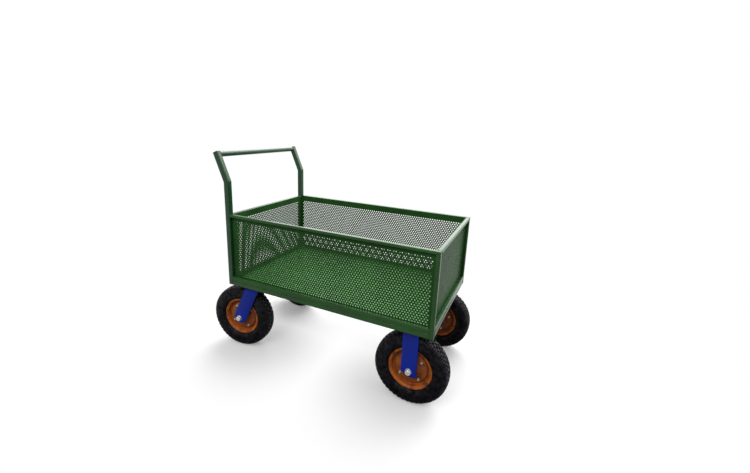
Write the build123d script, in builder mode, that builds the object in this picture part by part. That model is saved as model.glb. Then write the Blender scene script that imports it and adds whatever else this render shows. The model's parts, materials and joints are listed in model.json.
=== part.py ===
"""Hand cart with a perforated steel basket, a push handle and four pneumatic wheels.

X points forward, from the handle to the rigid wheels, Y to the left and Z up, in millimetres.
The origin is on the ground, in the middle of the cart's overall length and width.
"""

import os
from math import cos, radians, sin, tan

from build123d import *

os.makedirs("parts", exist_ok=True)

# Basket
basket_length = 1200.0
basket_height = 414.0

# Box-section tubes of the chassis, the basket frame and the rim
rail_depth = 20.0
chassis_rail_height = 25.0
chassis_side_depth = 30.0
base_rail_height = 25.0
rim_rail_height = 15.0
cross_tube_width = 40.0
tube_wall = 2.0

# Floor and wall sheets
floor_thickness = 2.0
panel_thickness = 1.5
panel_top_drop = 2.0
sheet_gap = 0.3

# Perforation of the walls: rows of six-sided holes, staggered by half a pitch
hole_pitch = 80.0
hole_row_angle = 60.0
hole_width = 54.0
hole_edge_margin = 34.0
hex_sides = 6

# Push handle
handle_tube = 30.0
handle_rise = 179.0
handle_lean = 23.5
handle_arm_length = 171.0
crossbar_diameter = 30.0
crossbar_wall = 2.5

# Wheel places, and the room that the swivelling wheels need
front_axle_inset = 112.0
swivel_inset = 113.0
swivel_trail = 80.0
swivel_toe = 7.7
swivel_room = 1.5
side_overhang = 86.0

# Tyre
tyre_radius = 186.5
tyre_width = 90.0
tread_width = 62.0
carcass = 8.0
crown_thickness = 14.0
bead_width = 10.0

# Rim and hub
bead_radius = 100.0
flange_height = 10.0
rim_width = 60.0
rim_thickness = 3.0
deep_ring_width = 9.0
disc_slope_width = 9.0
disc_offset = 15.0
hub_radius = 30.0
axle_radius = 10.0
running_fit = 0.05
seat_gap = 0.3

# Fork straps and axle bolts
leg_width = 78.0
strap_thickness = 5.5
tyre_side_gap = 2.5
tyre_top_gap = 9.5
bend_radius = 10.0
leg_end_drop = 26.0
leg_end_round = 10.0
leg_end_back = 14.0
leg_cut_rise = 13.0
fork_lean = 24.6
fork_shift = 4.0
bracket_cut_width = 33.0
bracket_cut_height = 21.0
bolt_head_width = 31.0
bolt_head_height = 12.5
nut_height = 13.0
thread_stub = 3.0

# Swivel bearings, top plates and kingpins
swivel_height = 12.0
race_radius = 30.0
plate_length = 140.0
plate_width = 112.0
plate_thickness = 6.0
kingpin_radius = 9.0
kingpin_nut_width = 27.0
kingpin_nut_height = 10.0

# Levels, from the ground up
crown_height = 2 * tyre_radius + tyre_top_gap + strap_thickness
plate_bottom = crown_height + swivel_height
chassis_bottom = plate_bottom + plate_thickness
chassis_top = chassis_bottom + chassis_rail_height
base_top = chassis_top + base_rail_height
rim_top = chassis_bottom + basket_height
rim_bottom = rim_top - rim_rail_height
handle_bend_height = rim_top + handle_rise

# Places along the cart
toe_cosine = cos(radians(swivel_toe))
toe_sine = sin(radians(swivel_toe))
front_reach = basket_length / 2 - front_axle_inset + tyre_radius
rear_tyre_reach = tyre_radius * toe_cosine + tread_width / 2 * toe_sine
rear_reach = basket_length / 2 - swivel_inset + swivel_trail * toe_cosine + rear_tyre_reach
basket_middle = (rear_reach - front_reach) / 2
rear_face = basket_middle - basket_length / 2
front_face = basket_middle + basket_length / 2
post_front = rear_face + handle_tube
front_inner = front_face - rail_depth
front_axle_x = front_face - front_axle_inset
swivel_x = rear_face + swivel_inset

# Places across the cart: the two swivelling wheels just pass each other when both point inward
half_track = swivel_trail + tyre_radius + swivel_room
side_outer = half_track + side_overhang
side_inner = side_outer - rail_depth
post_inner = side_outer - handle_tube
chassis_inner = side_outer - chassis_side_depth
strap_inside = tyre_width + 2 * tyre_side_gap
strap_outside = strap_inside + 2 * strap_thickness
sides = {"right": -1, "left": 1}
up = Vector(0, 0, 1)


def keep(piece, label):
    """Names a finished piece and writes it."""
    piece.part.label = label
    export_step(piece.part, f"parts/{label}.step")


def span(first, second):
    """The range between two places, lower end first."""
    return min(first, second), max(first, second)


def tube(label, along, x_span, y_span, z_span):
    """A box-section tube that fills three ranges and is open at both ends of its length."""
    middle = Vector(*(sum(ends) / 2 for ends in (x_span, y_span, z_span)))
    size_x, size_y, size_z = (high - low for low, high in (x_span, y_span, z_span))
    if along == "x":
        plane = Plane(middle, x_dir=(0, 1, 0), z_dir=(1, 0, 0))
        length, width, height = size_x, size_y, size_z
    elif along == "y":
        plane = Plane(middle, x_dir=(-1, 0, 0), z_dir=(0, 1, 0))
        length, width, height = size_y, size_x, size_z
    else:
        plane = Plane(middle, x_dir=(1, 0, 0), z_dir=(0, 0, 1))
        length, width, height = size_z, size_x, size_y
    with BuildPart() as piece:
        with BuildSketch(plane):
            Rectangle(width, height)
            Rectangle(width - 2 * tube_wall, height - 2 * tube_wall, mode=Mode.SUBTRACT)
        extrude(amount=length / 2, both=True)
    keep(piece, label)


# Chassis, base and rim rails: side rails run between the posts, end rails between the sides
levels = {
    "chassis_rail": (chassis_bottom, chassis_top),
    "base_rail": (chassis_top, base_top),
    "rim_rail": (rim_bottom, rim_top),
}
for name, level in levels.items():
    side_depth = chassis_side_depth if name == "chassis_rail" else rail_depth
    side_end = front_face if name == "rim_rail" else front_inner
    for side, sign in sides.items():
        across = span(sign * side_outer, sign * (side_outer - side_depth))
        tube(f"{name}_{side}", "x", (post_front, side_end), across, level)
    tube(f"{name}_front", "y", (front_inner, front_face), (-side_inner, side_inner), level)
    tube(f"{name}_rear", "y", (post_front - rail_depth, post_front), (-post_inner, post_inner), level)

# Cross tubes under the floor, two over each pair of wheels and one in the middle
plate_bolt_place = (plate_length - cross_tube_width) / 2
cross_places = {
    "front_outer": front_axle_x + plate_bolt_place,
    "front_inner": front_axle_x - plate_bolt_place,
    "middle": basket_middle,
    "rear_inner": swivel_x + plate_bolt_place,
    "rear_outer": swivel_x - plate_bolt_place,
}
for name, place in cross_places.items():
    width = (place - cross_tube_width / 2, place + cross_tube_width / 2)
    tube(f"cross_tube_{name}", "y", width, (-chassis_inner, chassis_inner), (chassis_bottom, chassis_top))

# Front corner posts, under the side rim rails
for side, sign in sides.items():
    corner = span(sign * side_outer, sign * side_inner)
    tube(f"front_post_{side}", "z", (front_inner, front_face), corner, (chassis_bottom, rim_bottom))


# Handle posts: square tubes that rise from the chassis, bend and lean back
def handle_outline(half, length):
    """Corner points of the bent tube seen from the side, for half its depth and its arm's length."""
    lean = radians(handle_lean)
    middle = rear_face + handle_tube / 2
    bend_rise = half * tan(lean / 2)
    end_x = middle - length * sin(lean)
    end_z = handle_bend_height + length * cos(lean)
    across_x = half * cos(lean)
    across_z = half * sin(lean)
    return [
        (middle - half, chassis_bottom),
        (middle + half, chassis_bottom),
        (middle + half, handle_bend_height + bend_rise),
        (end_x + across_x, end_z + across_z),
        (end_x - across_x, end_z - across_z),
        (middle - half, handle_bend_height - bend_rise),
    ]


for side, sign in sides.items():
    middle = sign * (side_outer - handle_tube / 2)
    plane = Plane((0, middle, 0), x_dir=(1, 0, 0), z_dir=(0, -1, 0))
    inside = handle_tube / 2 - tube_wall
    with BuildPart() as handle_post:
        with BuildSketch(plane):
            Polygon(*handle_outline(handle_tube / 2, handle_arm_length), align=None)
        extrude(amount=handle_tube / 2, both=True)
        with BuildSketch(plane):
            Polygon(*handle_outline(inside, handle_arm_length - tube_wall), align=None)
        extrude(amount=inside, both=True, mode=Mode.SUBTRACT)
    keep(handle_post, f"handle_post_{side}")

# Crossbar: a round pipe between the ends of the two arms
arm_to_bar = handle_arm_length - crossbar_diameter / 2
bar_x = rear_face + handle_tube / 2 - arm_to_bar * sin(radians(handle_lean))
bar_z = handle_bend_height + arm_to_bar * cos(radians(handle_lean))
with BuildPart() as crossbar:
    with BuildSketch(Plane((bar_x, 0, bar_z), x_dir=(1, 0, 0), z_dir=(0, -1, 0))):
        Circle(crossbar_diameter / 2)
        Circle(crossbar_diameter / 2 - crossbar_wall, mode=Mode.SUBTRACT)
    extrude(amount=post_inner, both=True)
keep(crossbar, "handle_crossbar")

# Floor sheet on the chassis, inside the walls
floor_half = side_inner - panel_thickness - sheet_gap
floor_rear = post_front + panel_thickness + sheet_gap
floor_front = front_inner - panel_thickness - sheet_gap
with BuildPart() as floor_sheet:
    with BuildSketch(Plane(((floor_rear + floor_front) / 2, 0, chassis_top))):
        Rectangle(floor_front - floor_rear, 2 * floor_half)
    extrude(amount=floor_thickness)
keep(floor_sheet, "floor_sheet")


# Perforated walls, on the inner faces of the rails
def hole_centres(width, height):
    """Places of the holes in a wall, in rows that are shifted by half a pitch in turn."""
    row_pitch = hole_pitch * sin(radians(hole_row_angle))
    columns = int((width - 2 * hole_edge_margin) // hole_pitch) + 1
    rows = int((height - 2 * hole_edge_margin) // row_pitch) + 1
    centres = []
    for row in range(rows):
        count = columns - row % 2
        for column in range(count):
            x = (column - (count - 1) / 2) * hole_pitch
            centres.append((x, (row - (rows - 1) / 2) * row_pitch))
    return centres


panel_bottom = chassis_top
panel_top = rim_top - panel_top_drop
panel_height = panel_top - panel_bottom
panel_level = (panel_top + panel_bottom) / 2
side_panel_length = front_inner - panel_thickness - post_front
side_panel_middle = (front_inner - panel_thickness + post_front) / 2
walls = {
    "side_panel_right": ((side_panel_middle, -side_inner), (0, 1), side_panel_length),
    "side_panel_left": ((side_panel_middle, side_inner), (0, -1), side_panel_length),
    "end_panel_front": ((front_inner, 0), (-1, 0), 2 * side_inner),
    "end_panel_rear": ((post_front, 0), (1, 0), 2 * post_inner),
}
for label, (place, inward, width) in walls.items():
    normal = Vector(*inward, 0)
    plane = Plane((*place, panel_level), x_dir=up.cross(normal), z_dir=normal)
    with BuildPart() as panel:
        with BuildSketch(plane):
            Rectangle(width, panel_height)
            with Locations(*hole_centres(width, panel_height)):
                RegularPolygon(hole_width / 2, hex_sides, rotation=180 / hex_sides, mode=Mode.SUBTRACT)
        extrude(amount=panel_thickness)
    keep(panel, label)


class Station:
    """Place of one wheel: its axle's middle, the way it rolls and the way its axle points outward."""

    def __init__(self, axle, heading, outward):
        self.axle = Vector(axle)
        self.heading = Vector(heading)
        self.outward = Vector(outward)
        self.axis = Axis(self.axle, self.outward)

    def profile(self, direction=1):
        """Plane through the axle: x runs along it, outward or inward, and y is the radius."""
        x_dir = self.outward * direction
        return Plane(self.axle, x_dir=x_dir, z_dir=x_dir.cross(up))

    def face(self, offset):
        """Plane square to the axle, at an offset outward from the middle of the wheel."""
        return Plane(self.axle + self.outward * offset, x_dir=self.heading, z_dir=self.outward)

    def side(self):
        """Plane of the wheel: x runs forward from the axle and y up."""
        return Plane(self.axle, x_dir=self.heading, z_dir=self.heading.cross(up))


stations = {}
for side, sign in sides.items():
    front_axle = (front_axle_x, sign * half_track, tyre_radius)
    stations[f"front_{side}"] = Station(front_axle, (1, 0, 0), (0, sign, 0))
    rear_axle_y = half_track + swivel_trail * toe_sine
    rear_axle = (swivel_x - swivel_trail * toe_cosine, sign * rear_axle_y, tyre_radius)
    rear_heading = (toe_cosine, -sign * toe_sine, 0)
    stations[f"rear_{side}"] = Station(rear_axle, rear_heading, (toe_sine, sign * toe_cosine, 0))

# Wheels: profiles have x along the axle, from the middle of the wheel, and y as the radius
barrel_inside = bead_radius - rim_thickness
flange_radius = bead_radius + flange_height
hub_length = strap_inside - 2 * seat_gap


def build_tyre(station, label):
    """Hollow tyre: flat tread, round shoulders and side walls, and beads between the rim's flanges."""
    half = tyre_width / 2
    bead_half = rim_width / 2 - rim_thickness - seat_gap
    bead_bore = bead_radius + seat_gap
    flange_clear = flange_radius + seat_gap
    tread_edge = (tread_width / 2, tyre_radius)
    bulge = (half, (tyre_radius + flange_clear) / 2)
    bead_top = (bead_half, flange_clear)
    crown_inside = tyre_radius - crown_thickness
    with BuildPart() as tyre:
        with BuildSketch(station.profile()):
            with BuildLine():
                TangentArc(bulge, tread_edge, tangent=(0, 1))
                TangentArc(bulge, bead_top, tangent=(0, -1))
                Polyline(
                    bead_top,
                    (bead_half, bead_bore),
                    (bead_half - bead_width, bead_bore),
                    (half - carcass, bulge[1]),
                    (tread_width / 2 - carcass, crown_inside),
                    (0, crown_inside),
                    (0, tyre_radius),
                    tread_edge,
                )
            make_face()
            mirror(about=Plane.YZ)
        revolve(axis=station.axis)
    keep(tyre, label)


def build_rim_half(station, direction, label):
    """Pressed half of the rim: flange, barrel, a deep ring and a disc that rises towards the hub."""
    flange_face = rim_width / 2
    flange_back = flange_face - rim_thickness
    root_radius = barrel_inside - deep_ring_width
    disc_radius = root_radius - disc_slope_width
    disc_bore = hub_radius + seat_gap
    with BuildPart() as rim_half:
        with BuildSketch(station.profile(direction)):
            Polygon(
                (seat_gap / 2, bead_radius),
                (flange_back, bead_radius),
                (flange_back, flange_radius),
                (flange_face, flange_radius),
                (flange_face, barrel_inside),
                (rim_thickness, barrel_inside),
                (rim_thickness, root_radius),
                (disc_offset, disc_radius),
                (disc_offset, disc_bore),
                (disc_offset - rim_thickness, disc_bore),
                (disc_offset - rim_thickness, disc_radius - rim_thickness / 2),
                (seat_gap / 2, root_radius - rim_thickness / 2),
                align=None,
            )
        revolve(axis=station.axis)
    keep(rim_half, label)


def build_hub(station, label):
    """Hub with its bearings, as one sleeve that runs on the axle between the fork's legs."""
    with BuildPart() as hub:
        with BuildSketch(station.face(-hub_length / 2)):
            Circle(hub_radius)
            Circle(axle_radius + running_fit, mode=Mode.SUBTRACT)
        extrude(amount=hub_length)
    keep(hub, label)


def build_axle(station, label):
    """Axle bolt: its head and nut bear on the outer faces of the fork's legs."""
    with BuildPart() as axle:
        with BuildSketch(station.face(-strap_outside / 2 - nut_height - thread_stub)):
            Circle(axle_radius)
        extrude(amount=strap_outside + nut_height + thread_stub)
        with BuildSketch(station.face(strap_outside / 2)):
            RegularPolygon(bolt_head_width / 2, hex_sides, major_radius=False)
        extrude(amount=bolt_head_height)
        with BuildSketch(station.face(-strap_outside / 2)):
            RegularPolygon(bolt_head_width / 2, hex_sides, major_radius=False)
        extrude(amount=-nut_height)
    keep(axle, label)


for name, station in stations.items():
    build_tyre(station, f"tyre_{name}")
    build_rim_half(station, 1, f"rim_outer_{name}")
    build_rim_half(station, -1, f"rim_inner_{name}")
    build_hub(station, f"hub_{name}")
    build_axle(station, f"axle_{name}")


# Forks: a flat strap bent into a bridge over the wheel and cut to shape at its sides
def strap_section(station, crown):
    """Section of the bent strap across the wheel, from its legs' ends up to its crown."""
    half = (strap_inside + strap_thickness) / 2
    top = crown - strap_thickness / 2
    with BuildSketch(station.profile()) as section:
        with BuildLine():
            FilletPolyline(
                (-half, -leg_end_drop),
                (-half, top),
                (half, top),
                (half, -leg_end_drop),
                radius=bend_radius + strap_thickness / 2,
            )
        trace(line_width=strap_thickness)
    return section.sketch


def bracket_outline(crown):
    """Corners of the upright bracket seen from the side, counted from the axle, with one end corner cut."""
    half = leg_width / 2
    return [
        (bracket_cut_width - half, -leg_end_drop),
        (half, -leg_end_drop),
        (half, crown),
        (-half, crown),
        (-half, bracket_cut_height - leg_end_drop),
    ]


def fork_outline(crown):
    """Corners of the leaning fork seen from the side, counted from the axle: leg's end, then up."""
    slope = tan(radians(fork_lean))
    half = leg_width / 2 / cos(radians(fork_lean))
    return [
        (-leg_end_back, -leg_end_drop),
        (fork_shift + half - slope * leg_end_drop, -leg_end_drop),
        (fork_shift + half + slope * crown, crown),
        (fork_shift - half + slope * crown, crown),
        (fork_shift - half + slope * leg_cut_rise, leg_cut_rise),
    ]


for side, sign in sides.items():
    station = stations[f"front_{side}"]
    crown = plate_bottom - tyre_radius
    with BuildPart() as bracket:
        extrude(strap_section(station, crown), amount=leg_width / 2, both=True)
        with BuildSketch(station.side()):
            Polygon(*bracket_outline(crown), align=None)
            fillet(vertices().group_by(Axis.Y)[0], leg_end_round)
            Circle(axle_radius + seat_gap, mode=Mode.SUBTRACT)
        extrude(amount=strap_outside, both=True, mode=Mode.INTERSECT)
        with BuildSketch(Plane((front_axle_x, sign * half_track, plate_bottom))):
            Rectangle(plate_length, plate_width)
        extrude(amount=plate_thickness)
    keep(bracket, f"rigid_bracket_{side}")

# Swivel casters: a fixed top plate with its race and kingpin, and a fork that turns under it
race_height = (swivel_height - seat_gap) / 2
for side, sign in sides.items():
    station = stations[f"rear_{side}"]
    swivel = (swivel_x, sign * half_track)
    crown = crown_height - tyre_radius
    with BuildPart() as fork:
        extrude(strap_section(station, crown), amount=crown, both=True)
        with BuildSketch(station.side()):
            Polygon(*fork_outline(crown), align=None)
            fillet(vertices().group_by(Axis.Y)[0], leg_end_round)
            Circle(axle_radius + seat_gap, mode=Mode.SUBTRACT)
        extrude(amount=strap_outside, both=True, mode=Mode.INTERSECT)
        with BuildSketch(Plane((*swivel, crown_height))):
            Circle(race_radius)
        extrude(amount=race_height)
        with BuildSketch(Plane((*swivel, crown_height + race_height))):
            Circle(kingpin_radius + running_fit)
        extrude(amount=-race_height - strap_thickness, mode=Mode.SUBTRACT)
    keep(fork, f"swivel_fork_{side}")

    with BuildPart() as swivel_plate:
        with BuildSketch(Plane((*swivel, plate_bottom))):
            Rectangle(plate_length, plate_width)
        extrude(amount=plate_thickness)
        with BuildSketch(Plane((*swivel, plate_bottom))):
            Circle(race_radius)
        extrude(amount=-race_height)
        with BuildSketch(Plane((*swivel, chassis_bottom))):
            Circle(kingpin_radius + seat_gap)
        extrude(amount=-plate_thickness - race_height, mode=Mode.SUBTRACT)
    keep(swivel_plate, f"swivel_plate_{side}")

    nut_top = crown_height - strap_thickness - seat_gap
    with BuildPart() as kingpin:
        with BuildSketch(Plane((*swivel, chassis_bottom))):
            RegularPolygon(kingpin_nut_width / 2, hex_sides, major_radius=False)
        extrude(amount=kingpin_nut_height)
        with BuildSketch(Plane((*swivel, chassis_bottom))):
            Circle(kingpin_radius)
        extrude(amount=nut_top - kingpin_nut_height - chassis_bottom)
        with BuildSketch(Plane((*swivel, nut_top))):
            RegularPolygon(kingpin_nut_width / 2, hex_sides, major_radius=False)
        extrude(amount=-kingpin_nut_height)
    keep(kingpin, f"kingpin_{side}")
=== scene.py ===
"""Looks of the hand cart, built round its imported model. Lengths are in metres."""

import json
from math import cos, pi, radians, sin, tan

import bmesh
import bpy
from mathutils import Matrix, Vector


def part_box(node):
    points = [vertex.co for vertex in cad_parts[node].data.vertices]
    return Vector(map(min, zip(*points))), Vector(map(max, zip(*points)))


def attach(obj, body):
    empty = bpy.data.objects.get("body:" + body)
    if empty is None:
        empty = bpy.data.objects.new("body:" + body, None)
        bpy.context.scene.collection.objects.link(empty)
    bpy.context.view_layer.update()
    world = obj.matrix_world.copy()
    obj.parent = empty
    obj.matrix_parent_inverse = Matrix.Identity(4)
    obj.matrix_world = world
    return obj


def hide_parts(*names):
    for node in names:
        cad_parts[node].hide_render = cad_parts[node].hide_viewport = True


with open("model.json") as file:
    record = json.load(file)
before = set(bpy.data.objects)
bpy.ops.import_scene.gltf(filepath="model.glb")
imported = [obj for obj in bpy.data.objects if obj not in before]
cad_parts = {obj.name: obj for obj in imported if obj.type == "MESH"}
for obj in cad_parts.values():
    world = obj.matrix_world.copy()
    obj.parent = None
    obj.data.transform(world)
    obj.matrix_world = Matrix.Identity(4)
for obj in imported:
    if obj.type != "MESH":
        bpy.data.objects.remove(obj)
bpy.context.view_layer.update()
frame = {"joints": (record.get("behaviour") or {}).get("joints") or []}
joints = {joint["name"]: joint for joint in frame["joints"]}
mm = 0.001
up = Vector((0, 0, 1))
sides = {"right": -1, "left": 1}

# Sizes that the solids share with these looks
tyre_radius = 186.5 * mm
tyre_half = 45.0 * mm
bead_radius = 100.0 * mm
hub_radius = 30.0 * mm
axle_radius = 10.0 * mm
strap_half = 47.5 * mm
strap_thickness = 5.5 * mm
strap_bend = 10.0 * mm
leg_width = 78.0 * mm
leg_end_drop = 26.0 * mm
leg_end_round = 10.0 * mm
bracket_cut_width = 33.0 * mm
bracket_cut_height = 21.0 * mm
fork_lean = radians(24.6)
fork_shift = 4.0 * mm
fork_end_back = 14.0 * mm
fork_cut_rise = 13.0 * mm
plate_length = 140.0 * mm
plate_width = 112.0 * mm
plate_thickness = 6.0 * mm
swivel_height = 12.0 * mm
race_gap = 0.3 * mm
race_radius = 30.0 * mm
kingpin_radius = 9.0 * mm
nut_width = 27.0 * mm
nut_height = 10.0 * mm
rail_depth = 20.0 * mm
handle_lean = radians(23.5)
handle_bend_height = 999.0 * mm
handle_arm = 171.0 * mm

# Places read from the solids
chassis_low, chassis_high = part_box("chassis_rail_right")
base_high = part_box("base_rail_right")[1]
rim_low, rim_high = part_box("rim_rail_right")
front_low, front_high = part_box("chassis_rail_front")
post_front = chassis_low.x
front_inner = front_low.x
front_face = front_high.x
side_outer = -chassis_low.y
plate_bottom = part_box("swivel_plate_right")[1].z - plate_thickness
crown_height = plate_bottom - swivel_height


# Materials
def new_material(name):
    """A node material, its node tree, its Principled shader and the place on the object."""
    material = bpy.data.materials.new(name)
    material.use_nodes = True
    tree = material.node_tree
    shader = tree.nodes["Principled BSDF"]
    place = tree.nodes.new("ShaderNodeTexCoord")
    return material, tree, shader, place.outputs["Object"]


def noise(tree, place, scale, detail=4.0, roughness=0.55):
    """Noise over the object, at so many bumps a metre."""
    node = tree.nodes.new("ShaderNodeTexNoise")
    node.inputs["Scale"].default_value = scale
    node.inputs["Detail"].default_value = detail
    node.inputs["Roughness"].default_value = roughness
    tree.links.new(place, node.inputs["Vector"])
    return node.outputs["Fac"]


def ramp(tree, factor, stops):
    """Colours over a factor from 0 to 1, as pairs of place and colour."""
    node = tree.nodes.new("ShaderNodeValToRGB")
    elements = node.color_ramp.elements
    while len(elements) < len(stops):
        elements.new(0.5)
    for element, (place, colour) in zip(elements, stops):
        element.position = place
        element.color = (*colour, 1.0)
    tree.links.new(factor, node.inputs["Fac"])
    return node.outputs["Color"]


def spread(tree, factor, low, high):
    """A factor brought to the range from low to high."""
    node = tree.nodes.new("ShaderNodeMapRange")
    node.inputs["To Min"].default_value = low
    node.inputs["To Max"].default_value = high
    tree.links.new(factor, node.inputs["Value"])
    return node.outputs["Result"]


def add_bump(tree, shader, heights):
    """Bumps one over the other, as triples of height, depth in metres and strength."""
    normal = None
    for height, depth, strength in heights:
        node = tree.nodes.new("ShaderNodeBump")
        node.inputs["Distance"].default_value = depth
        node.inputs["Strength"].default_value = strength
        tree.links.new(height, node.inputs["Height"])
        if normal:
            tree.links.new(normal, node.inputs["Normal"])
        normal = node.outputs["Normal"]
    tree.links.new(normal, shader.inputs["Normal"])


def shades(colour, depth=0.25):
    """Three stops of one colour, from a little darker to a little lighter."""
    stops = []
    for place, factor in ((0.28, 1 - depth), (0.5, 1), (0.74, 1 + depth)):
        stops.append((place, [channel * factor for channel in colour]))
    return stops


def paint(name, stops, clouds, rough, gloss):
    """Sprayed paint: cloudy colour, orange peel, and dust that dulls the gloss in patches."""
    material, tree, shader, place = new_material(name)
    colour = ramp(tree, noise(tree, place, clouds, 5.0), stops)
    tree.links.new(colour, shader.inputs["Base Color"])
    patches = noise(tree, place, 23.0, 6.0, 0.65)
    tree.links.new(spread(tree, patches, *rough), shader.inputs["Roughness"])
    shader.inputs["Specular IOR Level"].default_value = gloss
    peel = noise(tree, place, 260.0, 2.0)
    add_bump(tree, shader, [(peel, 0.25 * mm, 0.5), (patches, 0.4 * mm, 0.3)])
    return material


def rubber(name):
    """Black tyre rubber with dull and glossy patches, a fine moulded grain, and block edges painted paler,
    partly as wear and partly as a painted highlight.
    """
    clean = (0.0012, 0.0012, 0.0017)
    faded = (0.003, 0.0029, 0.0036)
    dusty = (0.014, 0.014, 0.0145)
    no_edge_lightening = (0.0, 0.0, 0.0)
    edge_wear_and_highlight = (0.1, 0.1, 0.107)
    dull = [0.04] * 3
    glossy = [0.21] * 3
    sheen_tint = (0.87, 0.87, 1.0, 1.0)
    material, tree, shader, place = new_material(name)
    clouds = noise(tree, place, 18.0, 6.0, 0.65)
    patches = noise(tree, place, 48.0, 5.0, 0.6)
    edges = tree.nodes.new("ShaderNodeNewGeometry").outputs["Pointiness"]
    colour = tree.nodes.new("ShaderNodeVectorMath")
    tree.links.new(ramp(tree, clouds, [(0.35, clean), (0.58, faded), (0.8, dusty)]), colour.inputs[0])
    # Paler block edges: partly wear, partly a painted highlight on the tread.
    tree.links.new(ramp(tree, edges, [(0.53, no_edge_lightening), (0.6, edge_wear_and_highlight)]), colour.inputs[1])
    tree.links.new(colour.outputs["Vector"], shader.inputs["Base Color"])
    tree.links.new(spread(tree, clouds, 0.25, 0.55), shader.inputs["Roughness"])
    gloss = ramp(tree, patches, [(0.4, dull), (0.68, glossy)])
    tree.links.new(gloss, shader.inputs["Specular IOR Level"])
    shader.inputs["Specular Tint"].default_value = sheen_tint
    add_bump(tree, shader, [(noise(tree, place, 700.0, 3.0), 0.25 * mm, 0.5)])
    return material


def bare_metal(name, dark, light, rough):
    """Plated steel with faint spangle and fine tool marks."""
    material, tree, shader, place = new_material(name)
    spangle = noise(tree, place, 120.0, 5.0, 0.6)
    tree.links.new(ramp(tree, spangle, [(0.3, dark), (0.7, light)]), shader.inputs["Base Color"])
    shader.inputs["Metallic"].default_value = 1.0
    tree.links.new(spread(tree, spangle, *rough), shader.inputs["Roughness"])
    add_bump(tree, shader, [(noise(tree, place, 900.0, 2.0), 0.1 * mm, 0.3)])
    return material


rim_stops = [(0.3, (0.1, 0.028, 0.01)), (0.45, (0.34, 0.085, 0.014)), (0.75, (0.5, 0.14, 0.022))]
green = paint("green_paint", shades((0.013, 0.07, 0.0095)), 7.0, (0.13, 0.26), 0.2)
handle_green = paint("handle_paint", shades((0.008, 0.053, 0.016)), 7.0, (0.1, 0.22), 0.27)
wall_green = paint("wall_paint", shades((0.0175, 0.067, 0.0142)), 7.0, (0.3, 0.45), 0.06)
# The floor sheet's green is much paler than the frame's: painted light, standing in for the sky light and
# reflection that the floor catches.
floor_green_painted_light = paint("floor_painted_light", shades((0.11, 0.29, 0.095), 0.12), 7.0, (0.26, 0.45), 0.15)
blue = paint("blue_paint", shades((0.004, 0.02, 0.29)), 9.0, (0.2, 0.34), 0.13)
orange = paint("rim_paint", rim_stops, 26.0, (0.32, 0.5), 0.2)
# The rim's disc and inner ring get the rim's orange darkened by a third: painted shade for the recessed
# dish, with some dirt.
disc_painted_shade = 0.66
shaded_disc_stops = [(place, [disc_painted_shade * channel for channel in colour]) for place, colour in rim_stops]
shaded_disc_orange = paint("rim_disc_painted_shade", shaded_disc_stops, 26.0, (0.28, 0.45), 0.25)
black = rubber("tyre_rubber")
steel = bare_metal("zinc_plate", (0.5, 0.5, 0.48), (0.7, 0.7, 0.67), (0.28, 0.45))
seal = bare_metal("bearing_seal", (0.03, 0.03, 0.032), (0.06, 0.06, 0.06), (0.4, 0.55))


# Mesh helpers: a shape is a list of points and a list of faces
def make_piece(name, shape, material, body, nodes=(), place=None, smooth=35):
    """One visible piece, which rides on a body and may stand for nodes."""
    points, faces = shape
    mesh = bpy.data.meshes.new(name)
    mesh.from_pydata(points, [], faces)
    if place is not None:
        mesh.transform(place)
    tidy = bmesh.new()
    tidy.from_mesh(mesh)
    bmesh.ops.recalc_face_normals(tidy, faces=tidy.faces)
    tidy.to_mesh(mesh)
    tidy.free()
    mesh.shade_smooth()
    mesh.set_sharp_from_angle(angle=radians(smooth))
    mesh.materials.append(material)
    piece = bpy.data.objects.new(name, mesh)
    bpy.context.scene.collection.objects.link(piece)
    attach(piece, body)
    if nodes:
        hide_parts(*nodes)


def joined(shapes):
    """Several shapes as one."""
    points = []
    faces = []
    for more_points, more_faces in shapes:
        start = len(points)
        points.extend(more_points)
        faces.extend([index + start for index in face] for face in more_faces)
    return points, faces


def moved(shape, place):
    """A shape carried by a matrix."""
    points, faces = shape
    return [place @ Vector(point) for point in points], faces


def shifted(shape, along):
    """A shape moved along local X."""
    return moved(shape, Matrix.Translation((along, 0, 0)))


def turned_back(shape):
    """A shape along local X, made to point the other way."""
    return moved(shape, Matrix.Rotation(pi, 4, "Z"))


def strip(here, there, count):
    """Faces between two closed loops of points, given where each loop starts."""
    faces = []
    for index in range(count):
        after = (index + 1) % count
        faces.append((here + index, here + after, there + after, there + index))
    return faces


def skin(sections):
    """A closed skin through loops of equal length, with flat ends."""
    count = len(sections[0])
    points = [point for section in sections for point in section]
    faces = []
    for ring in range(len(sections) - 1):
        faces.extend(strip(ring * count, (ring + 1) * count, count))
    faces.append(list(reversed(range(count))))
    faces.append(list(range(len(points) - count, len(points))))
    return points, faces


def turned(rings):
    """A ring-shaped skin through closed loops, the last joined to the first."""
    count = len(rings[0])
    points = [point for ring in rings for point in ring]
    faces = []
    for index in range(len(rings)):
        faces.extend(strip(index * count, (index + 1) % len(rings) * count, count))
    return points, faces


def lathe(profile, steps=96):
    """A closed profile of distance and radius, turned about the local X axis."""
    rings = []
    for step in range(steps):
        angle = 2 * pi * step / steps
        rings.append([(along, radius * cos(angle), radius * sin(angle)) for along, radius in profile])
    return turned(rings)


def circle(along, radius, steps):
    """Points of a circle about local X."""
    points = []
    for step in range(steps):
        angle = 2 * pi * step / steps
        points.append((along, radius * cos(angle), radius * sin(angle)))
    return points


def disc(radius, start, end, ease, steps=32):
    """A round plate along local X from start to end, with eased edges."""
    stations = ((start, ease), (start + ease, 0), (end - ease, 0), (end, ease))
    return skin([circle(along, radius - inset, steps) for along, inset in stations])


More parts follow.
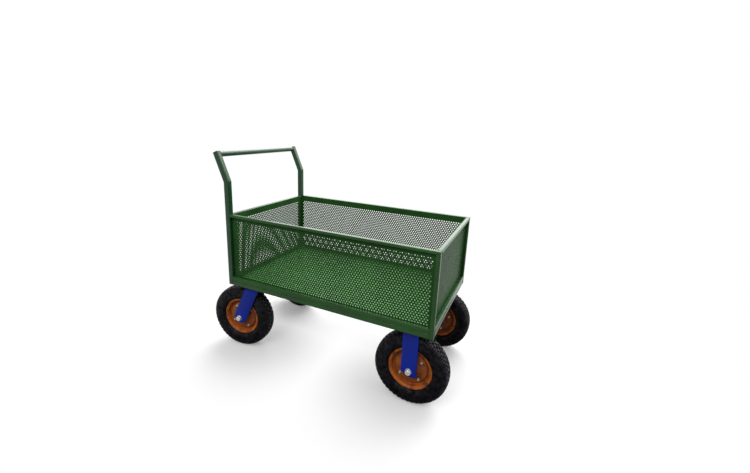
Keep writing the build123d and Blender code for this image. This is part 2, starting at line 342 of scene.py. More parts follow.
def hexagon_head(width, height, chamfer):
    """A hex head or nut along local X, with its top corners turned down to a circle."""
    flat = width / 2
    corner = flat / cos(radians(30))
    top_circle = 0.94 * flat
    steps = 24
    rings = []
    for along, limit in ((0, corner), (height - chamfer, corner), (height, top_circle)):
        ring = []
        for step in range(steps):
            angle = 2 * pi * step / steps
            off_flat = (angle + radians(30)) % radians(60) - radians(30)
            radius = min(flat / cos(off_flat), limit)
            ring.append((along, radius * cos(angle), radius * sin(angle)))
        rings.append(ring)
    return skin(rings)


def rounded_loop(width, height, radius, steps=3):
    """Points of a rectangle with round corners, about its middle."""
    points = []
    for corner, (side, rise) in enumerate(((1, 1), (-1, 1), (-1, -1), (1, -1))):
        for step in range(steps + 1):
            angle = pi / 2 * (corner + step / steps)
            x = side * (width / 2 - radius) + radius * cos(angle)
            y = rise * (height / 2 - radius) + radius * sin(angle)
            points.append((x, y))
    return points


def beam(low, high, axis, radius):
    """A tube that fills a box, round at its long edges and eased at its ends."""
    first, second = [index for index in range(3) if index != axis]
    middle = (low + high) / 2
    size = high - low
    ease = radius / 4
    ends = ((low[axis], ease), (low[axis] + ease, 0), (high[axis] - ease, 0), (high[axis], ease))
    sections = []
    for place, inset in ends:
        section = []
        for x, y in rounded_loop(size[first] - 2 * inset, size[second] - 2 * inset, radius):
            point = Vector(middle)
            point[axis] = place
            point[first] += x
            point[second] += y
            section.append(point)
        sections.append(section)
    return skin(sections)


def weld(start, end, lift, radius):
    """A rippled weld bead between two points, bulging towards lift."""
    ripple = 3.0 * mm
    rings_per_ripple = 3
    corners = 8
    along = end - start
    rings = max(4, round(along.length / ripple) * rings_per_ripple)
    out = lift.normalized()
    aside = along.normalized().cross(out)
    sections = []
    for ring in range(rings + 1):
        centre = start + along * (ring / rings)
        taper = min(1.0, 0.45 + 0.25 * min(ring, rings - ring))
        size = radius * taper * (0.88 + 0.12 * cos(2 * pi * ring / rings_per_ripple))
        section = []
        for corner in range(corners):
            angle = 2 * pi * corner / corners
            section.append(centre + out * size * sin(angle) + aside * size * cos(angle))
        sections.append(section)
    return skin(sections)


# Frame tubes
tube_round = 3.2 * mm
tube_axes = {}
for level in ("chassis_rail", "base_rail", "rim_rail"):
    for place, axis in (("right", 0), ("left", 0), ("front", 1), ("rear", 1)):
        tube_axes[f"{level}_{place}"] = axis
for place in ("front_outer", "front_inner", "middle", "rear_inner", "rear_outer"):
    tube_axes[f"cross_tube_{place}"] = 1
for side in sides:
    tube_axes[f"front_post_{side}"] = 2
for node, axis in tube_axes.items():
    low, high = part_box(node)
    make_piece(f"{node}_tube", beam(low, high, axis, tube_round), green, "cart", [node])


# Push handle: mitred square tubes and a round crossbar
def bent_post(node):
    """A square tube that rises, meets a mitre and leans back."""
    low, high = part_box(node)
    half = (high.y - low.y) / 2
    middle_y = (low.y + high.y) / 2
    middle_x = post_front - half
    ease = 1.2 * mm
    loop = rounded_loop(2 * half, 2 * half, tube_round)
    small = rounded_loop(2 * (half - ease), 2 * (half - ease), tube_round)
    sections = []
    for height, points in ((low.z, small), (low.z + ease, loop)):
        sections.append([(middle_x + x, middle_y + y, height) for x, y in points])
    mitre = tan(handle_lean / 2)
    sections.append([(middle_x + x, middle_y + y, handle_bend_height + x * mitre) for x, y in loop])
    for length, points in ((handle_arm - ease, loop), (handle_arm, small)):
        section = []
        for x, y in points:
            back = x * cos(handle_lean) - length * sin(handle_lean)
            rise = x * sin(handle_lean) + length * cos(handle_lean)
            section.append((middle_x + back, middle_y + y, handle_bend_height + rise))
        sections.append(section)
    return skin(sections)


for side in sides:
    node = f"handle_post_{side}"
    make_piece(f"{node}_tube", bent_post(node), handle_green, "cart", [node], smooth=20)

bar_low, bar_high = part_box("handle_crossbar")
bar_middle = (bar_low + bar_high) / 2
bar_radius = (bar_high.z - bar_low.z) / 2
bar_half = (bar_high.y - bar_low.y) / 2
bar_wall = 2.5 * mm
bar_spans = 20
bar_profile = [(bar_half * (2 * span / bar_spans - 1), bar_radius) for span in range(bar_spans + 1)]
bar_profile += [(bar_half, bar_radius - bar_wall), (-bar_half, bar_radius - bar_wall)]
bar_place = Matrix.Translation(bar_middle) @ Matrix.Rotation(pi / 2, 4, "Z")
bar_pipe = moved(lathe(bar_profile, 48), bar_place)
make_piece("crossbar_pipe", bar_pipe, handle_green, "cart", ["handle_crossbar"])


# Floor sheet, a little uneven as thin sheet is
def floor_plate():
    """The floor's sheet, with two shallow waves that crest at its upper face."""
    low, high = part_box("floor_sheet")
    wave_height = 0.35 * mm
    crest = 2
    columns = 72
    rows = 42
    count = rows + 1
    points = []
    faces = []
    for column in range(columns + 1):
        x = low.x + (high.x - low.x) * column / columns
        for row in range(count):
            y = low.y + (high.y - low.y) * row / rows
            wave = sin(11 * x + 5 * y) + sin(17 * y - 4 * x) - crest
            points.append((x, y, high.z + wave_height * wave))
    for column in range(columns):
        for row in range(rows):
            here = column * count + row
            faces.append((here, here + count, here + count + 1, here + 1))
    edge = [column * count for column in range(columns)]
    edge += [columns * count + row for row in range(rows)]
    edge += [column * count + rows for column in range(columns, 0, -1)]
    edge += list(range(rows, 0, -1))
    below = len(points)
    points.extend([(points[index][0], points[index][1], low.z) for index in edge])
    for index, top in enumerate(edge):
        after = (index + 1) % len(edge)
        faces.append((top, edge[after], below + after, below + index))
    faces.append(list(range(below, below + len(edge))))
    return points, faces


# The floor's paler green is painted light.
make_piece("floor_plate", floor_plate(), floor_green_painted_light, "cart", ["floor_sheet"], smooth=30)

# Perforated walls
hole_pitch = 14.3 * mm
hole_row_pitch = 11.65 * mm
hole_radius = 4.0 * mm
hole_corners = 12
hole_bottom = 2.0 * mm
hole_top = 27.0 * mm


def perforated_sheet(node, across, margin):
    """A wall with staggered round holes: across is 0 or 1, the level axis that the wall runs along."""
    low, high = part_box(node)
    through = 1 - across
    bottom = base_high.z + hole_bottom
    columns = int((high[across] - low[across] - 2 * margin) / hole_pitch)
    rows = int((high.z - hole_top - bottom) / hole_row_pitch)
    left = (low[across] + high[across] - columns * hole_pitch) / 2
    points = []
    faces = []

    def point(place, height, layer):
        """Adds a point on one of the wall's two faces, and gives its number."""
        spot = Vector((0, 0, height))
        spot[across] = place
        spot[through] = (low, high)[layer][through]
        points.append(spot)
        return len(points) - 1

    grids = []
    frames = []
    for layer in range(2):
        grid = []
        for row in range(rows + 1):
            height = bottom + row * hole_row_pitch
            places = [left + half * hole_pitch / 2 for half in range(2 * columns + 1)]
            grid.append([point(place, height, layer) for place in places])
        grids.append(grid)
        corners = ((low, low), (high, low), (high, high), (low, high))
        frames.append([point(side[across], level.z, layer) for side, level in corners])
    for grid, outer in zip(grids, frames):
        faces.append((outer[0], outer[1], *reversed(grid[0])))
        faces.append((outer[2], outer[3], *grid[-1]))
        faces.append((outer[3], outer[0], *(line[0] for line in grid)))
        faces.append((outer[1], outer[2], *(line[-1] for line in reversed(grid))))
    for index in range(4):
        after = (index + 1) % 4
        faces.append((frames[0][index], frames[0][after], frames[1][after], frames[1][index]))
    for row in range(rows):
        stagger = row % 2
        height = bottom + (row + 0.5) * hole_row_pitch
        if stagger:
            for grid in grids:
                lower, upper = grid[row], grid[row + 1]
                for half in (0, 2 * columns - 1):
                    faces.append((lower[half], lower[half + 1], upper[half + 1], upper[half]))
        for column in range(columns - stagger):
            start = 2 * column + stagger
            middle = start + 1
            end = start + 2
            centre = left + middle * hole_pitch / 2
            rings = []
            for layer, grid in enumerate(grids):
                lower, upper = grid[row], grid[row + 1]
                around = [lower[end], upper[end], upper[middle]]
                around += [upper[start], lower[start], lower[middle]]
                ring = []
                for corner in range(hole_corners):
                    angle = 2 * pi * corner / hole_corners
                    place = centre + hole_radius * cos(angle)
                    ring.append(point(place, height + hole_radius * sin(angle), layer))
                for index, corner in enumerate(around):
                    hole = [ring[(2 * index + step) % hole_corners] for step in (1, 0, -1)]
                    faces.append((corner, around[(index + 1) % 6], *hole))
                rings.append(ring)
            for corner in range(hole_corners):
                after = (corner + 1) % hole_corners
                faces.append((rings[0][corner], rings[0][after], rings[1][after], rings[1][corner]))
    return points, faces


wall_margins = {
    "side_panel_right": (0, 4 * mm),
    "side_panel_left": (0, 4 * mm),
    "end_panel_front": (1, 24 * mm),
    "end_panel_rear": (1, 14 * mm),
}
for node, (across, margin) in wall_margins.items():
    sheet = perforated_sheet(node, across, margin)
    make_piece(f"{node}_sheet", sheet, wall_green, "cart", [node])


# Wheels, in local axes: X outward along the axle, Z up
def wheel_place(joint, side):
    """Matrix from a wheel's own axes to the cart's."""
    outward = Vector(joint["axis"]) * side
    forward = up.cross(outward) * -side
    axes = Matrix((outward, forward, up)).transposed()
    return Matrix.Translation(Vector(joint["pos_m"])) @ axes.to_4x4()


def tyre_shape():
    """A tyre with staggered tread blocks, round walls, a moulded ring on each side and beads."""
    widest = 148.0 * mm
    roundness = 3.2
    wall_drop = widest - 110.8 * mm
    bead_half = 26.7 * mm
    ring_height = 0.8 * mm
    groove = 5.0 * mm
    shoulder_groove = 2.8 * mm
    blocks = 46
    cut = 0.16
    slope = 0.03
    inner_groove = (4.2 * mm, 8.0 * mm)
    outer_groove = (18.2 * mm, 22.0 * mm)
    groove_wall = 1.2 * mm
    lug_end = 43.0 * mm
    offsets = (-cut - slope, -cut, cut, cut + slope)
    shares = sorted({round((centre + offset) % 1.0, 6) for centre in (0.0, 0.5) for offset in offsets})
    places = [0.0]
    for near, far in (inner_groove, outer_groove):
        places += [near - groove_wall, near, far, far + groove_wall]
    shoulder_shares = (0.62, 0.73, 0.82, 0.9, 0.945, 0.978)
    places += [share * tyre_half for share in shoulder_shares]
    half_profile = []
    for x in places:
        rise = (tyre_radius - widest) * (1 - (x / tyre_half) ** roundness) ** (1 / roundness)
        half_profile.append((x, widest + rise))
    wall_steps = 14
    ring_steps = (5, 6)
    for step in range(wall_steps + 1):
        angle = pi / 2 * step / wall_steps
        ring = ring_height if step in ring_steps else 0.0
        x = bead_half + (tyre_half - bead_half) * cos(angle) + ring
        half_profile.append((x, widest - wall_drop * sin(angle)))
    half_profile.append((bead_half, bead_radius + 0.3 * mm))
    profile = [(-x, radius) for x, radius in reversed(half_profile)] + half_profile[1:]

    def cut_depth(x, share):
        """How deep the tread is cut at a distance from the middle and a share of a block's pitch."""
        if x > lug_end:
            return 0.0
        for near, far in (inner_groove, outer_groove):
            if near <= x <= far:
                return groove
        between = inner_groove[0] < x < outer_groove[1]
        phase = (share + (0.5 if between else 0.0) + 0.5) % 1.0 - 0.5
        if abs(phase) > cut + slope / 2:
            return 0.0
        return groove if x < outer_groove[1] else shoulder_groove

    rings = []
    for block in range(blocks):
        for share in shares:
            turn = 2 * pi * (block + share) / blocks
            ring = []
            for x, radius in profile:
                low = radius - cut_depth(abs(x), share) if radius > widest else radius
                ring.append((x, low * cos(turn), low * sin(turn)))
            rings.append(ring)
    return turned(rings)


def rim_shapes(direction):
    """A pressed rim half in two parts, in millimetres: a lip with its barrel, and a ring with its disc."""
    seat = [(0.3, 97.0), (1.0, 100.0), (20.0, 100.0), (25.5, 101.0), (27.0, 103.5)]
    lip = [(27.0, 108.6), (27.8, 110.0), (29.4, 110.4), (30.6, 109.6), (30.9, 108.0), (30.2, 104.5)]
    barrel = [(28.4, 100.5), (25.5, 97.0), (22.0, 95.2), (16.0, 94.6), (6.5, 94.2), (4.0, 93.0)]
    ring = [(0.3, 97.0), (4.0, 93.0), (3.2, 90.6), (3.6, 88.4), (5.4, 86.6), (12.6, 80.8)]
    disc_face = [(14.4, 79.2), (15.0, 77.0), (15.0, 45.0), (16.2, 41.0), (18.6, 38.4)]
    collar = [(19.4, 35.5), (19.4, 30.4), (16.6, 30.4), (16.6, 35.0), (12.4, 42.0)]
    back = [(12.0, 76.5), (10.0, 79.2), (2.4, 85.2), (0.4, 88.0)]
    shapes = []
    for outline in (seat + lip + barrel, ring + disc_face + collar + back):
        shapes.append(lathe([(direction * x * mm, radius * mm) for x, radius in outline]))
    return shapes


hub_half = strap_half - 0.3 * mm
bearing_radius = 23.5 * mm
bearing_width = 14.0 * mm


def hub_shape():
    """The hub's sleeve, from one bearing to the other, with eased ends."""
    outer = [
        (hub_half - 12 * mm, hub_radius),
        (hub_half - 8 * mm, hub_radius - 1.0 * mm),
        (hub_half - 1.5 * mm, hub_radius - 1.5 * mm),
        (hub_half, hub_radius - 4.0 * mm),
    ]
    bore = [(hub_half, bearing_radius + 0.1 * mm), (-hub_half, bearing_radius + 0.1 * mm)]
    left = [(-x, radius) for x, radius in reversed(outer)]
    return lathe(left + outer + bore, 64)


def bearing_shape():
    """Both bearings: an outer ring, a sunk seal and an inner ring at each end."""
    sunk = hub_half - 0.9 * mm
    inside = hub_half - bearing_width
    bore = axle_radius + 0.2 * mm
    seal_outside = 20.0 * mm
    seal_inside = 14.6 * mm
    slant = 0.6 * mm
    profile = [
        (hub_half, bearing_radius),
        (hub_half, seal_outside + slant),
        (sunk, seal_outside),
        (sunk, seal_inside),
        (hub_half, seal_inside - slant),
        (hub_half, bore),
        (inside, bore),
        (inside, bearing_radius),
    ]
    ring = lathe(profile, 48)
    return joined([ring, turned_back(ring)])


def rim_bolts(first_angle):
    """The four bolts that hold the rim's halves: heads outside, nuts and stubs inside."""
    bolt_circle = 68 * mm
    uneven_turn = 2.7
    disc_face = 15.0 * mm
    washer = 1.2 * mm
    washer_radius = 5.8 * mm
    head_width = 9 * mm
    head_height = 5.6 * mm
    stub_radius = 3.0 * mm
    stub_length = 10 * mm
    washer_ring = disc(washer_radius, disc_face, disc_face + washer, 0.3 * mm, 24)
    head = shifted(hexagon_head(head_width, head_height, 0.8 * mm), disc_face + washer)
    stub = disc(stub_radius, disc_face, disc_face + stub_length, 0.6 * mm, 16)
    one_bolt = joined([washer_ring, head, turned_back(joined([washer_ring, head, stub]))])
    shapes = []
    for index in range(4):
        angle = radians(first_angle + 90 * index)
        spot = Matrix.Translation((0, bolt_circle * cos(angle), bolt_circle * sin(angle)))
        twist = Matrix.Rotation(uneven_turn * angle, 4, "X")
        shapes.append(moved(one_bolt, spot @ twist))
    return joined(shapes)


def valve_shape():
    """The tube's valve: a rubber foot, a stem and its cap, in millimetres along local X."""
    foot = [(2.8, 0.1), (2.8, 6.2), (6.0, 5.9), (8.5, 4.4), (14.0, 4.0)]
    stem_and_cap = [(14.0, 3.0), (24.0, 3.0), (24.0, 4.1), (31.0, 4.1), (32.4, 3.2), (32.4, 0.1)]
    return lathe([(x * mm, radius * mm) for x, radius in foot + stem_and_cap], 20)


def axle_bolt():
    """Axle bolt from outside: washer and head, and at the far end washer, nut and threaded stub."""
    face = strap_half + strap_thickness
    washer = 2.4 * mm
    washer_radius = 16.0 * mm
    boss_radius = 9.5 * mm
    boss_rise = 0.3 * mm
    thread = 1.5 * mm
    seat = face + washer
    head_top = seat + nut_height
    washer_ring = disc(washer_radius, face, seat, 0.5 * mm)
    head = shifted(hexagon_head(nut_width, nut_height, 1.8 * mm), seat)
    boss = disc(boss_radius, head_top - 0.4 * mm, head_top + boss_rise, boss_rise)
    far_end = [washer_ring, head]
    for turn in range(2):
        start = head_top + turn * thread
        far_end.append(disc(axle_radius, start, start + thread + 0.1 * mm, 0.55 * mm))
    shank = disc(axle_radius - 0.8 * mm, -face, face, 0.5 * mm)
    return joined([washer_ring, head, boss, shank, turned_back(joined(far_end))])


tyre_mesh = tyre_shape()
valve_circle = 90.2 * mm
bolt_angles = {"front_right": 39.0, "rear_right": 33.0, "front_left": 20.0, "rear_left": 64.0}
valve_angles = {"front_right": 96.0, "rear_right": 66.0, "front_left": 70.0, "rear_left": 110.0}
wheels = {}
for end in ("front", "rear"):
    for side, sign in sides.items():
        name = f"{end}_{side}"
        body = f"wheel_{name}"
        place = wheel_place(joints[f"spin_{name}"], sign)
        wheels[name] = place
        make_piece(f"tyre_{name}_tread", tyre_mesh, black, body, [f"tyre_{name}"], place, smooth=28)
        for layer, direction in (("outer", 1), ("inner", -1)):
            node = f"rim_{layer}_{name}"
            lip, pan = rim_shapes(direction)
            make_piece(f"{node}_lip", lip, orange, body, [node], place, smooth=50)
            # The disc part takes the darker orange that paints the dish's shade.
            make_piece(f"{node}_pan", pan, shaded_disc_orange, body, [node], place, smooth=50)
        make_piece(f"hub_{name}_sleeve", hub_shape(), orange, body, [f"hub_{name}"], place)
        make_piece(f"hub_{name}_bearings", bearing_shape(), seal, body, (), place)
        make_piece(f"rim_{name}_bolts", rim_bolts(bolt_angles[name]), steel, body, (), place)
        angle = radians(valve_angles[name])
        spot = place @ Matrix.Translation((0, valve_circle * cos(angle), valve_circle * sin(angle)))
        make_piece(f"valve_{name}", valve_shape(), black, body, (), spot)
        carrier = "cart" if end == "front" else f"fork_{side}"
        make_piece(f"axle_{name}_bolt", axle_bolt(), steel, carrier, [f"axle_{name}"], place)


# Forks and brackets: flat bar bent over the wheel
def rounded_outline(corners, rounding):
    """Points of an outline whose corners are rounded, each by its own radius."""
    steps = 8
    points = []
    for index, corner in enumerate(corners):
        here = Vector(corner)
        before = (Vector(corners[index - 1]) - here).normalized()
        after = (Vector(corners[(index + 1) % len(corners)]) - here).normalized()
        radius = rounding[index]
        if not radius:
            points.append(here)
            continue
        half = before.angle(after) / 2
        reach = radius / tan(half)
        centre = here + (before + after).normalized() * (radius / sin(half))
        first = here + before * reach - centre
        last = here + after * reach - centre
        sweep = first.angle_signed(last)
        for step in range(steps + 1):
            points.append(centre + Matrix.Rotation(-sweep * step / steps, 2) @ first)
    return points


def outline_limits(points, height):
    """Lowest and highest X of an outline at a height."""
    found = []
    for index, point in enumerate(points):
        low, high = sorted((points[index - 1], point), key=lambda spot: spot.y)
        if low.y <= height <= high.y and high.y > low.y:
            share = (height - low.y) / (high.y - low.y)
            found.append(low.x + (high.x - low.x) * share)
    return min(found), max(found)


def strap_shape(corners, rounding, crown):
    """A strap bent up, over and down, cut to the outline that its side shows."""
    outline = rounded_outline(corners, rounding)
    bend = strap_bend + strap_thickness / 2
    middle = strap_half + strap_thickness / 2
    top = crown - strap_thickness / 2
    edge = 1.1 * mm
    bend_start = top - bend
    bend_steps = 8
    leg_steps = 6
    above_point = 0.02 * mm
    heights = {round(point.y + above_point, 5) for point in outline if point.y < bend_start}
    lowest = min(heights)
    heights |= {lowest + (bend_start - lowest) * step / leg_steps for step in range(1, leg_steps)}
    path = [(middle, height, 0.0) for height in sorted(heights)]
    for step in range(bend_steps + 1):
        angle = pi / 2 * step / bend_steps
        path.append((middle - bend + bend * cos(angle), bend_start + bend * sin(angle), angle))
    path += [(-across, height, pi - angle) for across, height, angle in reversed(path)]
    sections = []
    for across, height, angle in path:
        low, high = outline_limits(outline, height)
        section = []
        for x, y in rounded_loop(high - low, strap_thickness, edge, 2):
            section.append((across + y * cos(angle), (low + high) / 2 + x, height + y * sin(angle)))
        sections.append(section)
    return skin(sections)


def caster_plate(centre):
    """A top plate with round corners, and its four bolts with washers under their heads."""
    corner = 11.0 * mm
    ease = 0.5 * mm
    small = rounded_loop(plate_length - 2 * ease, plate_width - 2 * ease, corner, 6)
    loop = rounded_loop(plate_length, plate_width, corner, 6)
    plate_top = plate_bottom + plate_thickness
    heights = (plate_bottom, plate_bottom + ease, plate_top - ease, plate_top)
    sections = []
    for height, points in zip(heights, (small, loop, loop, small)):
        sections.append([(centre.x + x, centre.y + y, height) for x, y in points])
    washer_radius = 10 * mm
    washer_height = 1.8 * mm
    head_width = 16 * mm
    head_height = 8.2 * mm
    bolt_inset = 18 * mm
    washer = disc(washer_radius, 0, washer_height, 0.4 * mm, 24)
    bolt = joined([washer, hexagon_head(head_width, head_height, 1.0 * mm)])
    downward = Matrix.Rotation(pi / 2, 4, "Y")
    bolts = []
    for front in (-1, 1):
        for across in (-1, 1):
            x = centre.x + front * (plate_length / 2 - bolt_inset)
            y = centre.y + across * (plate_width / 2 - bolt_inset)
            bolts.append(moved(bolt, Matrix.Translation((x, y, plate_bottom)) @ downward))
    return skin(sections), joined(bolts)


for side in sides:
    place = wheels[f"front_{side}"]
    centre = place.translation
    crown = plate_bottom - tyre_radius
    half = leg_width / 2
    corners = [
        (bracket_cut_width - half, -leg_end_drop),
        (half, -leg_end_drop),
        (half, crown),
        (-half, crown),
        (-half, bracket_cut_height - leg_end_drop),
    ]
    strap = strap_shape(corners, (leg_end_round, leg_end_round, 0, 0, 0), crown)
    plate, bolts = caster_plate(centre)
    pieces = [moved(strap, place), plate]
    weld_half = strap_half - strap_bend - 3 * mm
    weld_length = 24 * mm
    for front in (-1, 1):
        for across in (-1, 1):
            start = Vector((centre.x + front * half, centre.y + across * weld_half, plate_bottom))
            finish = start - Vector((0, across * weld_length, 0))
            pieces.append(weld(start, finish, Vector((front, 0, -1)), 3.0 * mm))
    node = f"rigid_bracket_{side}"
    make_piece(f"{node}_strap", joined(pieces), blue, "cart", [node], smooth=40)
    make_piece(f"plate_bolts_front_{side}", bolts, steel, "cart")


def race_ring(seat, face):
    """A swivel race along local X, from its seat to its free face, whose edge is eased."""
    ease = 2.0 * mm
    towards = 1 if face > seat else -1
    bore = kingpin_radius + 0.3 * mm
    profile = [
        (seat, bore),
        (seat, race_radius),
        (face - towards * ease, race_radius),
        (face, race_radius - ease),
        (face, bore),
    ]
    return lathe(profile, 56)


race_height = (swivel_height - race_gap) / 2
race_overlap = 0.1 * mm
pin_tail = 2 * mm
for side in sides:
    place = wheels[f"rear_{side}"]
    centre = Vector(joints[f"swivel_{side}"]["pos_m"])
    crown = crown_height - tyre_radius
    half = leg_width / 2 / cos(fork_lean)
    slope = tan(fork_lean)
    corners = [
        (-fork_end_back, -leg_end_drop),
        (fork_shift + half - slope * leg_end_drop, -leg_end_drop),
        (fork_shift + half + slope * crown, crown),
        (fork_shift - half + slope * crown, crown),
        (fork_shift - half + slope * fork_cut_rise, fork_cut_rise),
    ]
    strap = moved(strap_shape(corners, (leg_end_round, leg_end_round, 0, 0, 4 * mm), crown), place)
    upright = Matrix.Translation((centre.x, centre.y, 0)) @ Matrix.Rotation(-pi / 2, 4, "Y")
    lower_race = race_ring(crown_height - race_overlap, crown_height + race_height)
    upper_race = race_ring(plate_bottom + race_overlap, plate_bottom - race_height)
    plate, bolts = caster_plate(centre)
    node = f"swivel_fork_{side}"
    fork = joined([strap, moved(lower_race, upright)])
    make_piece(f"{node}_strap", fork, blue, f"fork_{side}", [node], smooth=40)
    node = f"swivel_plate_{side}"
    top = joined([plate, moved(upper_race, upright)])
    make_piece(f"{node}_race", top, blue, "cart", [node], smooth=40)
    make_piece(f"plate_bolts_rear_{side}", bolts, steel, "cart")
    pin_low, pin_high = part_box(f"kingpin_{side}")
    nut = hexagon_head(nut_width, nut_height, 1.6 * mm)
    pin = disc(kingpin_radius, pin_low.z - pin_tail, pin_high.z, 0.6 * mm)
    top_nut = shifted(nut, pin_high.z - nut_height)
    low_nut = shifted(turned_back(nut), pin_low.z + nut_height)
    kingpin = moved(joined([pin, top_nut, low_nut]), upright)
    make_piece(f"kingpin_{side}_nut", kingpin, steel, "cart", [f"kingpin_{side}"])

# Weld seams of the frame
seams = []
seam_bead = 2.0 * mm
joint_bead = 1.4 * mm
corner_bead = 2.8 * mm
bar_bead = 1.2 * mm
bar_weld_steps = 16
stitches = ((60 * mm, 55 * mm), (380 * mm, 45 * mm), (700 * mm, 45 * mm), (1018 * mm, 97 * mm))
ahead = Vector((1, 0, 0))
tall_joints = ((chassis_low.z, base_high.z), (rim_low.z, rim_high.z))
for sign in sides.values():
    outer = sign * side_outer
    outward = Vector((0, sign, 0))
    for start, length in stitches:
        begin = Vector((post_front + start, outer, chassis_high.z))
        seams.append(weld(begin, begin + ahead * length, outward, seam_bead))
    for low, high in tall_joints:
        foot = Vector((post_front, outer, low))
        seams.append(weld(foot, Vector((post_front, outer, high)), outward, joint_bead))
        foot = Vector((front_face, outer - sign * rail_depth, low))
        seams.append(weld(foot, foot + up * (high - low), ahead, joint_bead))
    foot = Vector((front_inner, outer, chassis_low.z))
    seams.append(weld(foot, Vector((front_inner, outer, base_high.z)), outward, joint_bead))
    corner = Vector((front_inner, outer - sign * rail_depth, base_high.z))
    seams.append(weld(corner, corner + up * (rim_low.z - base_high.z), ahead, corner_bead))
    head = Vector((front_inner, outer, rim_low.z))
    seams.append(weld(head, Vector((front_face, outer, rim_low.z)), outward, joint_bead))
    bar_end = bar_middle + outward * bar_half
    rim_points = []
    for step in range(bar_weld_steps + 1):
        angle = 2 * pi * step / bar_weld_steps
        rim_points.append(Vector((cos(angle), 0, sin(angle))))
    for first, last in zip(rim_points, rim_points[1:]):
        start = bar_end + bar_radius * first
        seams.append(weld(start, bar_end + bar_radius * last, first - outward, bar_bead))
make_piece("frame_welds", joined(seams), green, "cart", smooth=60)


# Stage: a white floor that keeps the shadow round the wheels and fades to plain white beyond it
fade_start = 0.1
fade_end = 0.6
least_white = 0.2
unseen_shade = 0.1
seen_shade = 0.85


def combined(tree, operation, sockets):
    """Several values brought together, two at a time."""
    result = sockets[0]
    for socket in sockets[1:]:
        node = tree.nodes.new("ShaderNodeMath")
        node.operation = operation
        tree.links.new(result, node.inputs[0])
        tree.links.new(socket, node.inputs[1])
        result = node.outputs[0]
    return result


def seen_directly(tree):
    """The light path node, and a value of 1 for rays from the camera, a shiny surface or glass."""
    path = tree.nodes.new("ShaderNodeLightPath")
    kinds = ("Is Camera Ray", "Is Glossy Ray", "Is Transmission Ray")
    return path, combined(tree, "MAXIMUM", [path.outputs[kind] for kind in kinds])


def stage_material():
    """Pale matt floor, mixed with plain white where it is seen and away from the wheels."""
    material, tree, shader, place = new_material("stage_white")
    shader.inputs["Roughness"].default_value = 0.9
    shader.inputs["Specular IOR Level"].default_value = 0.0
    path, seen = seen_directly(tree)
    shade = spread(tree, path.outputs["Is Camera Ray"], unseen_shade, seen_shade)
    tree.links.new(shade, shader.inputs["Base Color"])
    distances = []
    for wheel in wheels.values():
        distance = tree.nodes.new("ShaderNodeVectorMath")
        distance.operation = "DISTANCE"
        distance.inputs[1].default_value = (wheel.translation.x, wheel.translation.y, 0)
        tree.links.new(place, distance.inputs[0])
        distances.append(distance.outputs["Value"])
    fade = tree.nodes.new("ShaderNodeMapRange")
    fade.interpolation_type = "SMOOTHSTEP"
    fade.inputs["From Min"].default_value = fade_start
    fade.inputs["From Max"].default_value = fade_end
    fade.inputs["To Min"].default_value = least_white
    tree.links.new(combined(tree, "MINIMUM", distances), fade.inputs["Value"])
    share = combined(tree, "MULTIPLY", [seen, fade.outputs["Result"]])
    white = tree.nodes.new("ShaderNodeEmission")
    mix = tree.nodes.new("ShaderNodeMixShader")
    tree.links.new(share, mix.inputs["Fac"])
    tree.links.new(shader.outputs["BSDF"], mix.inputs[1])
    tree.links.new(white.outputs["Emission"], mix.inputs[2])
    tree.links.new(mix.outputs["Shader"], tree.nodes["Material Output"].inputs["Surface"])
    return material


bpy.ops.mesh.primitive_plane_add(size=30)
floor = bpy.context.object
floor.name = "stage_floor"
floor.data.materials.append(stage_material())

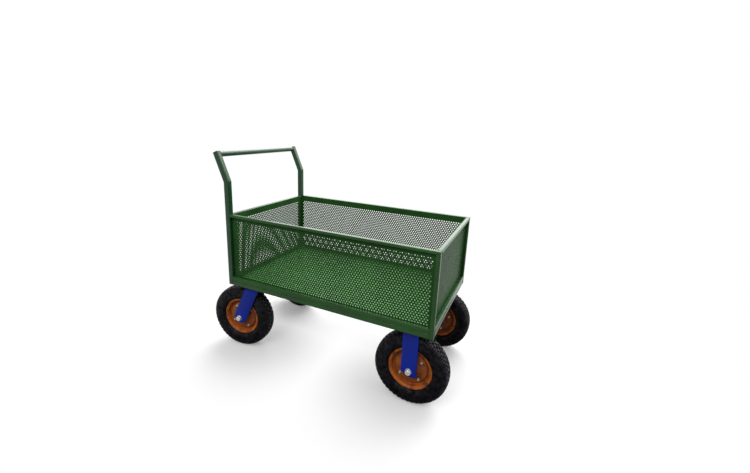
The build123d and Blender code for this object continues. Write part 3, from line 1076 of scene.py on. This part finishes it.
# World: soft white light that is stronger from above, plain white where it is seen
level_strength = 0.1
zenith_strength = 0.85
world = bpy.data.worlds.new("studio")
bpy.context.scene.world = world
world.use_nodes = True
tree = world.node_tree
soft = tree.nodes["Background"]
plain = tree.nodes.new("ShaderNodeBackground")
for background in (soft, plain):
    background.inputs["Color"].default_value = (1.0, 1.0, 1.0, 1.0)
direction = tree.nodes.new("ShaderNodeTexCoord")
height = tree.nodes.new("ShaderNodeSeparateXYZ")
tree.links.new(direction.outputs["Generated"], height.inputs["Vector"])
strength = spread(tree, height.outputs["Z"], level_strength, zenith_strength)
tree.links.new(strength, soft.inputs["Strength"])
path, seen = seen_directly(tree)
mix = tree.nodes.new("ShaderNodeMixShader")
tree.links.new(seen, mix.inputs["Fac"])
tree.links.new(soft.outputs["Background"], mix.inputs[1])
tree.links.new(plain.outputs["Background"], mix.inputs[2])
tree.links.new(mix.outputs["Shader"], tree.nodes["World Output"].inputs["Surface"])


# Lamps
def area_lamp(name, place, target, width, height, power):
    """A soft lamp at a place, facing a target, with its size in metres and its power in watts."""
    data = bpy.data.lights.new(name, "AREA")
    data.shape = "RECTANGLE"
    data.size = width
    data.size_y = height
    data.energy = power
    lamp = bpy.data.objects.new(name, data)
    lamp.location = place
    lamp.rotation_mode = "QUATERNION"
    lamp.rotation_quaternion = (Vector(target) - Vector(place)).to_track_quat("-Z", "Y")
    lamp.visible_camera = False
    bpy.context.scene.collection.objects.link(lamp)


area_lamp("back", (-0.2, 3.2, 2.8), (0.0, 0.0, 0.8), 6.4, 3.0, 170)
area_lamp("high", (0.0, 2.6, 4.5), (0.0, 0.0, 0.9), 6.5, 3.0, 230)
area_lamp("front_end", (3.2, 0.2, 2.2), (0.3, 0.0, 0.6), 1.8, 1.8, 20)
area_lamp("key", (0.2, -3.2, 3.0), (0.1, 0.0, 0.6), 2.6, 1.8, 75)

# Camera, fitted to the photograph
camera_data = bpy.data.cameras.new("camera")
camera_data.sensor_width = 36.0
camera_data.lens = 17.456
camera_data.shift_x = 0.0153
camera_data.shift_y = -0.0285
camera_place = (0.94726, -1.78912, 1.32025)
azimuth = radians(24.96)
elevation = radians(13.86)
roll = radians(2.07)
back = Vector((sin(azimuth) * cos(elevation), -cos(azimuth) * cos(elevation), sin(elevation)))
level_right = Vector((cos(azimuth), sin(azimuth), 0))
level_up = back.cross(level_right)
camera_right = cos(roll) * level_right + sin(roll) * level_up
camera_up = cos(roll) * level_up - sin(roll) * level_right
axes = Matrix((camera_right, camera_up, back)).transposed()
camera = bpy.data.objects.new("camera", camera_data)
camera.matrix_world = Matrix.Translation(camera_place) @ axes.to_4x4()
bpy.context.scene.collection.objects.link(camera)
bpy.context.scene.camera = camera
bpy.context.scene.view_settings.view_transform = "Standard"
